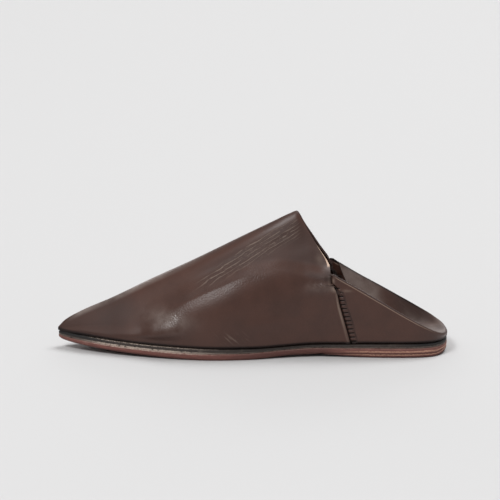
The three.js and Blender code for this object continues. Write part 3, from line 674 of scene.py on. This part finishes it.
def sole_edge(name, body, raw, raw_low, raw_high, stripe_at, rim_at=2.0):
    """Layered sole leather: fibrous edge with frayed pale fibres and burnished stripes along it.

    The fibres show where the share of the layer's height goes from raw_low to raw_high, and the
    stripe at stripe_at (None leaves it out). A thin frayed line runs above rim_at, and the two ends
    are painted black as shade from just below it, which a rim_at of 2 leaves out; the waist and the
    low part of each layer are painted darker as shade too.
    """
    material, nodes, shader = new_material(name)
    times, plus, fade, noise = nodes.times, nodes.plus, nodes.ramp, nodes.noise
    place, level = nodes.place(), nodes.value("level")
    x = nodes.x_mm(place)
    strata = noise(nodes.stretched(place, (0.05, 0.05, 1.0)), 2600.0, 4.0, 0.6)
    fibres = noise(nodes.stretched(place, (0.6, 0.6, 1.0)), 1500.0, 5.0, 0.75)
    blotch = noise(place, 110.0, 5.0, 0.6)
    patchy = fade(noise(place, 380.0, 4.0, 0.65), 0.30, 0.48)
    ends = nodes.math("MAXIMUM", fade(x, -92, -118), fade(x, 100, 122))
    # Painted shade where the sole's waist lifts off the floor.
    waist_shade = times(fade(x, -35, 5), fade(x, 66, 48))
    front = times(fade(x, -124, -98), fade(x, -10, -68))
    rim = times(fade(level, rim_at, rim_at + 0.06), fade(fibres, 0.45, 0.55))
    frayed = fade(plus(level, times(nodes.minus(fibres, 0.5), 0.7)), raw_low, raw_high)
    frayed = times(frayed, plus(times(front, 0.8), 0.16), patchy)
    body, dark, raw = rgb(body), rgb(body, 0.45), rgb(raw)
    tints = [
        (times(fade(blotch, 0.55, 0.8), 0.22), raw),
        # Painted shade: the two ends black at the top, in the gap under the upper.
        (times(ends, fade(level, rim_at - 0.5, rim_at - 0.3)), (0.004, 0.003, 0.003, 1)),
        (times(waist_shade, 0.85), dark),
    ]
    if stripe_at is not None:
        wavy = plus(level, times(nodes.minus(blotch, 0.5), 0.5))
        off = nodes.math("ABSOLUTE", nodes.minus(wavy, stripe_at))
        stripe = times(fade(off, 0.24, 0.06), fade(x, 56, 84), fade(fibres, 0.32, 0.55))
        tints.append((stripe, STRIPE))
    # Painted shade towards the underside of each layer.
    tints.append((times(fade(level, 0.42, 0.12), 0.6), dark))
    tints += [(times(rim, front), raw), (frayed, raw)]
    color = nodes.mix(fade(strata, 0.25, 0.75), dark, body)
    for amount, tint in tints:
        color = nodes.mix(amount, color, tint)
    height = plus(times(strata, 0.6), times(fibres, 0.7))
    surface(nodes, shader, color, plus(times(blotch, 0.3), 0.52), height, 0.9, 0.3)
    return material


def plain_leather(name, low, high, roughness, pebble, specular=0.5):
    """Leather of one colour, mottled between a low and a high tint."""
    material, nodes, shader = new_material(name)
    height, mottle = grain(nodes, nodes.place(), pebble)
    color = nodes.mix(nodes.ramp(mottle, 0.3, 0.7), rgb(low), rgb(high))
    surface(nodes, shader, color, roughness, height, specular=specular)
    return material


# ---- settings ----
def color_setting(name, description, default):
    return FloatVectorProperty(
        name=name, description=description, subtype="COLOR", size=3, default=default, min=0, max=1,
    )


class BaboucheSettings(PropertyGroup):
    leather_color: color_setting("Leather", "Colour of the upper's dyed leather", (0.060, 0.0235, 0.0155))
    # Pale tint of creases and scuffs, also used for painted highlights.
    wear_and_highlight_color: color_setting(
        "Worn leather", "Colour where creases and scuffs have paled the leather", (0.26, 0.19, 0.15),
    )
    sole_color: color_setting("Sole edge", "Colour of the outsole's stained edge", (0.235, 0.085, 0.068))
    raw_color: color_setting("Raw fibres", "Colour of the sole leather's bare fibres", (0.62, 0.50, 0.42))
    leather_roughness: FloatProperty(
        name="Leather roughness", description="Roughness of the smooth upper", default=0.4, min=0, max=1,
    )
    crease_depth: FloatProperty(
        name="Crease depth", description="Scale of the soft folds in the upper", default=1.0, min=0, max=2,
    )
    seam_roll: FloatProperty(
        name="Seam roll", description="Rise of the vamp's rolled edge at the side seams",
        default=SEAM_ROLL * MM, min=0, max=0.003, unit="LENGTH", subtype="DISTANCE",
    )
    stitch_pitch: FloatProperty(
        name="Stitch pitch", description="Distance between the rungs of the side-seam stitching",
        default=0.0029, min=0.002, max=0.01, unit="LENGTH", subtype="DISTANCE",
    )


class StageSettings(PropertyGroup):
    floor_color: color_setting("Floor", "Colour of the pale floor", (0.575, 0.575, 0.58))
    camera_height: FloatProperty(
        name="Camera elevation", description="Angle of the camera above the floor",
        default=math.radians(12), subtype="ANGLE", unit="ROTATION",
    )
    view_width: FloatProperty(
        name="View width", description="Width of the picture at the shoe", default=0.3529,
        unit="LENGTH", subtype="DISTANCE",
    )


# ---- pieces ----
def mirrored(near, far):
    """Joins a near half and a far half, both starting at the middle, into full rows."""
    return np.concatenate([near[:, ::-1], far[:, 1:]], 1)


def vamp_columns():
    """Section places from the ridge to the end of the lip."""
    roof = np.linspace(0, ROOF, 45)
    wall = np.linspace(ROOF, ROOF + SIDE_WALL, 37)
    lip = np.linspace(ROOF + SIDE_WALL, SIDE, 9)
    return np.concatenate([roof, wall[1:], lip[1:]])


def vamp_half(side):
    column = vamp_columns()[None, :]
    edge = 0.045  # share of the rows' run kept for the back edge
    row = np.concatenate([(1 - edge) * np.linspace(0, 1, 196) ** 1.3, 1 - edge * np.linspace(1, 0, 28)[1:]])
    back = vamp_back(column, side)
    x = TOE_X + (back - TOE_X) * row[:, None]
    points = vamp_point(x, np.broadcast_to(column, x.shape), side)
    points[0] = (TOE_X, smooth(RIDGE, "offset", TOE_X), feather(TOE_X) - 0.2)
    return points, back - x


def spot(points, x, z, wide, tall):
    """A soft round mask on the shoe's outer side."""
    return (points[..., 1] < 0) * bell(points[..., 0], x, wide) * bell(points[..., 2], z, tall)


def lower_edge_shade(points):
    """Painted shade along the turned lower edge, where the upper meets the sole."""
    return 1 - ramp(points[..., 2] - feather(points[..., 0]), 1.2, 2.6)


def vamp_looks(points, column, left, at_seam):
    """The vamp's point values. left is the distance to its back edge, along the shoe.

    Creased leather shows wrinkle lines, painted sheen is a pale highlight laid into the colour, and dull
    leather is less glossy and darkened as painted shade.
    """
    x, z = points[..., 0], points[..., 2]
    below = smooth(RIDGE, "ridge", x) - z
    over = z - smooth(SHOULDER, "height", x)
    under_rim = below + 0.2 * np.minimum(x, 0)
    creased = ramp(x, -44, -26) * ramp(x, 35, 28) * ramp(under_rim, 4.5, 6.5) * ramp(below, 20.5, 15)
    crown = ramp(x, -62, -35) * ramp(x, 30, 10) * ramp(below, 8, 16) * ramp(over, -7, -2)
    pebbled = 0.8 * crown + 0.4 * ramp(x, 34, 48) * bell(z, 53, 3) + 0.6 * spot(points, -60, 30, 14, 8)
    # Painted light rim along the front of the ridge.
    front_rim_sheen = ramp(below, 3.3, 0.6) * ramp(x, -134, -122) * ramp(x, -28, -75)
    # Less gloss; where positive it also darkens the colour as painted shade: toe, wrinkles, below the ridge,
    # shoulder, throat corner and a dark rim along the ridge. Negative at the toe's fold makes it glossier.
    dull_and_shade = (
        ramp(x, -78, -98) + 0.9 * creased
        + ramp(x, -50, -20) * ramp(below, 3, 8) * ramp(over, 5, 9) * (1 - creased)
        + 0.32 * bell(over, 3, 3) * ramp(x, -64, -45) * ramp(x, 12, -8)
        + bell(over, 0, 2.2) * ramp(x, 34, 42) + 0.8 * ramp(below, 2.5, 0.8) * (1 - front_rim_sheen)
        + spot(points, 53, 58, 3.5, 4) - 0.8 * spot(points, -57, 28, 13, 8)
    )
    on_throat = (column < ROOF) * (points[..., 1] < 0) * ramp(left, 2.2, 1.5)
    # Painted highlights: the light line along the rolled seam edge, the bright pucker at the throat corner
    # and a light spot by the throat edge.
    wear_and_highlight = (
        at_seam * bell(left, 1.2, 0.8) * (0.3 + 0.9 * bell(z, 33, 12))
        + 1.1 * spot(points, 57, 48.8, 2, 1.8) + 0.5 * spot(points, 47, 68, 2.5, 3)
    )
    # Painted shade along the lower edge by the sole, and on the throat corner where it damps the sheen.
    dirt_and_shade = lower_edge_shade(points) + 0.5 * spot(points, 54, 56.5, 3, 3)
    return {
        "creased": creased,
        "pebbled": np.clip(pebbled, 0, 1),
        "scuffed": spot(points, -22, 14.5, 6, 4) + spot(points, -10, 16, 6, 3.5),
        "wear_and_highlight": np.clip(wear_and_highlight, 0, 1),
        "dirt_and_shade": np.clip(dirt_and_shade, 0, 1),
        "raw": on_throat * ramp(x, 45, 47.5) * ramp(z, 61.8, 63.4),
        "dull_and_shade": np.clip(dull_and_shade, -1, 1),
        # Painted sheen: the highlight patch on the toe's fold, a sheen by the throat corner and the light rim
        # along the front ridge.
        "painted_sheen": (
            1.4 * spot(points, -59, 26.5, 13, 6) + 0.8 * spot(points, 48, 50, 9, 3)
            + 0.8 * front_rim_sheen
        ),
    }


def make_vamp(settings):
    (near, near_left), (far, far_left) = (vamp_half(side) for side in (NEAR, FAR))
    points, left = mirrored(near, far), mirrored(near_left, far_left)
    column = mirrored(vamp_columns()[None, :], vamp_columns()[None, :])
    normal = facing(points)
    normal[0] = normal[1]
    at_seam = ramp(column, ROOF - 0.6, ROOF + 0.3)
    rolled = at_seam * ramp(left, 5.5, 1.6) * (1 - 0.45 * ramp(left, 1.2, 0))
    rise = crease_rise(points, CREASES) * ramp(left, 0, 2) * ramp(column, SIDE - LIP, SIDE - LIP - 1.5)
    rise = settings.seam_roll / MM * rolled + settings.crease_depth * rise
    points = points + normal * rise[..., None]
    around = distances(points, 1)
    around = around - around[:, [points.shape[1] // 2]]
    uv = np.stack([points[..., 0], around], -1)
    piece = add_sheet("vamp", points, uv, vamp_looks(points, column, left, at_seam))
    edit(bpy.ops.mesh.flip_normals)
    return thicken(piece)


# Rows of the quarter's parts. A row's label is its part's number here plus its share of the part.
QUARTER_PARTS = (("lip", 9), ("wall", 105), ("fold", 10), ("flap", 50))


def quarter_half(side):
    reach = 0.13  # share of the columns' run kept for the side seam
    along = np.concatenate([np.linspace(0, reach, 26)[:-1], np.linspace(reach, 1, 62)])[None, :]
    parts, labels = [], []
    for index, (part, count) in enumerate(QUARTER_PARTS):
        share = np.linspace(0, 1, count)[:, None]
        label = index + share
        if part == "flap":
            share = share**1.5
        rows = quarter_rows(part, share, np.broadcast_to(along, (count, along.size)), side)
        parts.append(rows if index == 0 else rows[1:])
        labels.append(label if index == 0 else label[1:])
    return np.concatenate(parts), np.concatenate(labels)


def rung_heights(pitch):
    return np.arange(RUNG_LOW, RUNG_HIGH, pitch)


def seam_places(points, pitch):
    """Distance behind the vamp's edge, share of the band's width and nearness to a stitch's rung."""
    x, z = points[..., 0], points[..., 2]
    behind = x - smooth(SEAM, "edge", z, "z")
    share = behind / smooth(SEAM, "width", z, "z")
    phase = (z - RUNG_LEAN * (share - 0.5) - RUNG_LOW) / pitch
    rung = bell((phase - np.round(phase)) * pitch, 0, RUNG_RADIUS)
    return behind, share, rung * ramp(z, 9.5, 10.5) * ramp(z, 50.5, 49)


def quarter_looks(points, label, behind, share, band, rung):
    """The quarter's point values. behind, share, band and rung say where the side seam is."""
    x, z = points[..., 0], points[..., 2]
    far = points[..., 1] > 0
    outside, flap = ramp(label, 3.0, 2.6), ramp(label, 2.9, 3.1)
    hem = bell(share, 1.03, 0.07) * ramp(label, 2.05, 1.95) * ramp(z, 49, 46) * ramp(z, 8, 11)
    # Painted highlight: the light line along the fold's outer crest.
    crest = 1.3 * bell(label, 2.12, 0.075) * ramp(label, 1.985, 2.0) * ramp(x, 57, 60) * ramp(x, 134, 112)
    # Painted shade in the crease on the fold's inner side.
    fold_crease_shade = bell(label, 2.75, 0.22) * ramp(x, 120, 100)
    shaded = far * ramp(label, 3.42, 3.16) * ramp(x, 84, 98) * ramp(x, 137, 127)
    # Painted highlights on the puckers at the fold's front end and where the fold starts.
    pucker_highlight = 0.9 * spot(points, 56.5, 54.5, 1, 1.6) + 0.5 * spot(points, 66, 47.5, 3.5, 1)
    # Painted shade along the lower edge, in the fold's inner crease, under the vamp's edge and on the far
    # fold's crest; the side seam is darker at its rungs, across its band and along its back edge.
    dirt_and_shade = (
        lower_edge_shade(points) + 0.9 * band * rung + 0.15 * band + 0.75 * hem + 0.7 * fold_crease_shade
        + ramp(behind, 1.0, 0.2) * outside * ramp(label, 2.1, 1.9)
        + far * ramp(label, 2.2, 2.5) * ramp(label, 3.15, 3.05) * ramp(x, 132, 112)
    )
    # Less gloss, with painted shade in the colour: the flap's back end, the far flap's shaded dish and the
    # fold's top.
    dull_and_shade = 0.9 * flap * ramp(x, 96, 108) + 0.5 * shaded + ramp(label, 2.15, 2.25) * ramp(label, 3, 2.9)
    return {
        "pebbled": 0.1 * outside,
        "scuffed": 0.2 * flap,
        "wear_and_highlight": np.clip(0.75 * crest + pucker_highlight, 0, 1),
        "dirt_and_shade": np.clip(dirt_and_shade, 0, 1),
        # Tan tint on the fold's crest, part of its painted highlight line.
        "raw": 0.26 * crest,
        "dull_and_shade": np.clip(dull_and_shade, 0, 1.6),
        # Painted reflection on the folded-down flap, kept off its shaded part.
        "painted_sheen": flap * np.clip(ramp(x, 99, 84) + 0.8 * ramp(x, 104, 114), 0, 1) * (1 - shaded),
    }


def make_quarter(settings):
    (near, label), (far, label) = (quarter_half(side) for side in (NEAR, FAR))
    points = np.concatenate([near, far[:, -2::-1]], 1)
    label = np.broadcast_to(label, points.shape[:2])
    normal = -facing(points)
    normal[-1] = (0, 0, 1)
    behind, share, rung = seam_places(points, settings.stitch_pitch / MM)
    outside = ramp(label, 3.0, 2.6)
    band = ramp(share, 0.04, 0.2) * ramp(share, 1.02, 0.86)
    band = band * ramp(label, 2.05, 1.95) * ramp(points[..., 2], 50, 47.5)
    folded_under = ramp(behind, 1.0, 0.1) * ramp(label, 2.5, 2.1)
    tucked = np.where(label > 2, folded_under, ramp(behind, 1.9, 0.2)) * outside
    rise = band * (0.55 - 0.7 * rung) - 1.15 * tucked
    rise = rise + settings.crease_depth * crease_rise(points, QUARTER_CREASES) * outside
    points = points + normal * rise[..., None]
    # The far fold's front end rises to meet the throat.
    raised = 1.5 * (points[..., 1] > 0) * ramp(points[..., 0], 80, 53)
    points[..., 2] += raised * ramp(label, 1.9, 2.6) * ramp(label, 3.3, 3.0)
    uv = np.stack([points[..., 0], distances(points, 0)], -1)
    piece = add_sheet("quarter", points, uv, quarter_looks(points, label, behind, share, band, rung))
    return thicken(piece)


def wall_y(x, z, side):
    """Sideways place of the quarter's wall at a height."""
    falls = np.linspace(0, 1, 80)
    across, heights = wall_section(x, falls)
    return foot_at(x, side)[0] - side * np.interp(z, heights[::-1], across[::-1])


def add_rung(side, height):
    """One stitch: a sphere drawn out to a thread across the seam's band, bowed off the wall."""
    bpy.ops.mesh.primitive_uv_sphere_add(segments=8, ring_count=14)
    rung = bpy.context.object
    a, b, pole = values_of(rung.data.vertices, "co", 3).T
    edge, width = smooth(SEAM, "edge", height, "z"), smooth(SEAM, "width", height, "z")
    run = 0.5 + RUNG_REACH * pole
    x = edge + width * run
    z = height + RUNG_LEAN * (run - 0.5)
    wall = np.array([wall_y(*place, side) for place in zip(x, z)])
    ring = np.sqrt(np.maximum(1 - pole**8, 0)) / np.maximum(np.hypot(a, b), 1e-6)
    ring = RUNG_RADIUS * np.where(np.abs(pole) > 0.999, 0, ring)
    y = wall + side * (a * ring - RUNG_BOW * pole**2)
    rung.data.vertices.foreach_set("co", (np.stack([x, y, z + b * ring], -1) * MM).ravel())
    return rung


def make_stitches(settings):
    """Thread rungs across both side seams, sunk between the raised leather."""
    heights = rung_heights(settings.stitch_pitch / MM)
    rungs = [add_rung(side, height) for side in (NEAR, FAR) for height in heights]
    choose(*rungs)
    bpy.ops.object.join()
    piece = begin("side_seam_stitches")
    edit(lambda: bpy.ops.mesh.normals_make_consistent(inside=False))
    return piece


class BABOUCHE_OT_upper(Operator):
    """Makes the vamp and the quarter with its folded-down back, as leather of real thickness"""

    bl_idname = "babouche.upper"
    bl_label = "Upper"

    def execute(self, context):
        settings = context.scene.babouche
        grain_group()
        materials = [upper_leather(settings), lining_leather(), cut_edge(settings)]
        for piece in (make_vamp(settings), make_quarter(settings)):
            finish_piece(piece, materials, "upper_leather", "upper")
        thread = plain_leather("seam_thread", (0.008, 0.005, 0.004), (0.014, 0.009, 0.007), 0.85, 0.3, 0.12)
        finish_piece(make_stitches(settings), [thread], "upper_leather")
        return {"FINISHED"}


def sole_inset(station):
    ends = np.minimum(station / 3, (LAST - station) / 3)
    return SOLE_END_INSET * (1 - np.minimum(1, ends))


def insole_inset(station):
    return foot_inset(station) + TURN_IN + 0.5


def wander(at, seed):
    """Slow irregular wobble between about -1 and 1."""
    return (np.sin(1.9 * at + seed) + np.sin(4.3 * at + 2.1 * seed) + np.sin(9.7 * at + 3.7 * seed)) / 3


def layer_points(layer, station, across, share):
    """Places in a sole layer: across goes from -1 to 1 and share from its underside to its top."""
    rim = smooth(layer["edge"], "inset", share, "share")
    if layer["on_lift"]:
        # Over the heel lift the lower edge stays full, so that the two trim flush.
        over_lift = ramp(station, LIFT_STATION - 0.2, LIFT_STATION + 0.3)
        rim = rim * (1 - 0.75 * over_lift * (share < 0.5))
    wobble = TRIM_WOBBLE * wander(station * 6 + 5 * share, 1.3 + share) * ramp(station, 0, 1)
    inset = layer["inset"](station) + rim + wobble
    near, far = (inset_point(station, side, inset) for side in (NEAR, FAR))
    flat = near + (far - near) * (across[..., None] + 1) / 2
    x = flat[..., 0]
    low, high = layer["low"](x), layer["high"](x)
    return np.concatenate([flat, (low + (high - low) * share)[..., None]], -1)


def add_layer(name, low, high, edge, first=0.0, inset=sole_inset, levels=9, on_lift=False):
    """A sole layer: a grid in the layer's plan, extruded up in steps that follow its edge profile."""
    layer = {"low": low, "high": high, "edge": edge, "inset": inset, "on_lift": on_lift}
    rows, columns = np.linspace(first, LAST, LAYER_ROWS), np.linspace(-1, 1, LAYER_COLUMNS)
    station, across = np.meshgrid(rows, columns, indexing="ij")
    points = layer_points(layer, station, across, 0.0)
    piece = add_grid(name, points, station=station, across=across, level=0 * station)
    mesh = piece.data
    edit()
    for share in np.linspace(0, 1, levels)[1:]:
        bpy.ops.object.mode_set(mode="EDIT")
        bpy.ops.mesh.extrude_region_move(TRANSFORM_OT_translate={"value": (0, 0, 0.1 * MM)})
        bpy.ops.object.mode_set(mode="OBJECT")
        chosen = values_of(mesh.vertices, "select", kind=bool)
        at, side, level = (
            values_of(mesh.attributes[key].data, "value", kind=np.float32)
            for key in ("station", "across", "level")
        )
        co = values_of(mesh.vertices, "co", 3)
        co[chosen] = layer_points(layer, at[chosen].astype(float), side[chosen], share) * MM
        mesh.vertices.foreach_set("co", co.ravel())
        level[chosen] = share
        mesh.attributes["level"].data.foreach_set("value", level)
    edit(
        lambda: bpy.ops.mesh.remove_doubles(threshold=2e-7),
        lambda: bpy.ops.mesh.normals_make_consistent(inside=False),
    )
    if sum(face.center.dot(face.normal) * face.area for face in mesh.polygons) < 0:
        edit(bpy.ops.mesh.flip_normals)
    return piece


def outsole_under(x):
    """Underside of the outsole, which makes room for the heel lift."""
    on_lift = np.clip((x - LIFT_START_X + 6) / 6, 0, 1)
    return smooth(SOLE, "under", x) + (smooth(LIFT, "thick", x) + GAP) * on_lift


def insole_top(x):
    return feather(x) + INSOLE_THICK


class BABOUCHE_OT_sole(Operator):
    """Makes the outsole, midsole, heel lift and insole as layers of leather"""

    bl_idname = "babouche.sole"
    bl_label = "Sole layers"

    def execute(self, context):
        settings = context.scene.babouche
        body, raw = settings.sole_color, settings.raw_color
        red = sole_edge("outsole_edge", body, raw, 0.75, 1.05, 0.40)
        dark_red = sole_edge("heel_lift_edge", rgb(body, 0.75)[:3], raw, 1.1, 1.5, 0.88)
        black = sole_edge("midsole_edge", (0.032, 0.019, 0.014), raw, 0.48, 0.12, None, 0.9)
        sock = plain_leather("insole_leather", (0.16, 0.095, 0.065), (0.27, 0.17, 0.12), 0.62, 0.2)
        under, joint, top = (smooth_of(SOLE, key) for key in ("under", "joint", "top"))
        outsole = add_layer(
            "outsole_leather", outsole_under, lambda x: joint(x) - GAP, OUTSOLE_EDGE, on_lift=True,
        )
        finish_piece(outsole, [red], "sole_leather", "outsole", angle=40)
        midsole = add_layer("midsole_layer", joint, top, MIDSOLE_EDGE)
        finish_piece(midsole, [black], "midsole_leather", "midsole", angle=40)
        lift = add_layer(
            "heel_lift_leather", under, lambda x: under(x) + smooth(LIFT, "thick", x),
            LIFT_EDGE, LIFT_STATION,
        )
        finish_piece(lift, [dark_red], "sole_leather", "heel_lift", angle=40)
        first = foot_at(INSOLE_FRONT_X, NEAR)[1]
        insole = add_layer("insole_sock", feather, insole_top, INSOLE_EDGE, first, insole_inset, levels=4)
        finish_piece(insole, [sock], "insole_leather", "insole", angle=40)
        return {"FINISHED"}


class BABOUCHE_OT_stage(Operator):
    """Makes the pale floor, the soft studio lights and the camera"""

    bl_idname = "babouche.stage"
    bl_label = "Stage"

    def execute(self, context):
        settings = context.scene.babouche_stage
        scene = context.scene
        bpy.ops.mesh.primitive_plane_add(size=40, location=(0, 0, 0))
        floor = begin("floor")
        material, _, shader = new_material("floor_paper")
        shader.inputs["Base Color"].default_value = rgb(settings.floor_color)
        shader.inputs["Roughness"].default_value = 0.9
        floor.data.materials.append(material)
        world = bpy.data.worlds.new("studio")
        world.use_nodes = True
        background = world.node_tree.nodes["Background"]
        background.inputs["Color"].default_value = (1.0, 0.985, 0.965, 1)
        background.inputs["Strength"].default_value = 0.4
        scene.world = world
        for light in LIGHTS:
            add_area(*light)
        bpy.ops.object.camera_add()
        camera = bpy.context.object
        camera.name = "camera"
        tilt = settings.camera_height
        x, y, z = CAMERA_AIM
        camera.location = (x, y - CAMERA_DISTANCE * math.cos(tilt), z + CAMERA_DISTANCE * math.sin(tilt))
        camera.rotation_euler = (math.pi / 2 - tilt, 0, 0)
        camera.data.lens = camera.data.sensor_width * CAMERA_DISTANCE / settings.view_width
        camera.data.clip_end = 100
        scene.camera = camera
        scene.view_settings.view_transform = "Standard"
        return {"FINISHED"}


def add_area(name, location, width, depth, power):
    """A rectangular area light aimed at the middle of the shoe."""
    bpy.ops.object.light_add(type="AREA", location=location)
    light = bpy.context.object
    light.name = name
    light.data.shape = "RECTANGLE"
    light.data.size, light.data.size_y = width, depth
    light.data.energy = power
    light.rotation_euler = (-light.location).to_track_quat("-Z", "Y").to_euler()


class BABOUCHE_PT_panel(Panel):
    """Sidebar panel with the slipper's settings and pieces"""

    bl_label = "Babouche slipper"
    bl_idname = "BABOUCHE_PT_panel"
    bl_space_type = "VIEW_3D"
    bl_region_type = "UI"
    bl_category = "Babouche"

    def draw(self, context):
        for settings in (context.scene.babouche, context.scene.babouche_stage):
            for key in settings.__annotations__:
                self.layout.prop(settings, key)
        for operator in OPERATORS:
            self.layout.operator(operator.bl_idname)


OPERATORS = (BABOUCHE_OT_upper, BABOUCHE_OT_sole, BABOUCHE_OT_stage)
CLASSES = (BaboucheSettings, StageSettings, *OPERATORS, BABOUCHE_PT_panel)


def register():
    for item in CLASSES:
        bpy.utils.register_class(item)
    bpy.types.Scene.babouche = PointerProperty(type=BaboucheSettings)
    bpy.types.Scene.babouche_stage = PointerProperty(type=StageSettings)


def unregister():
    del bpy.types.Scene.babouche_stage
    del bpy.types.Scene.babouche
    for item in reversed(CLASSES):
        bpy.utils.unregister_class(item)


def main():
    register()
    bpy.ops.babouche.stage()
    bpy.ops.babouche.upper()
    bpy.ops.babouche.sole()


if __name__ == "__main__":
    main()
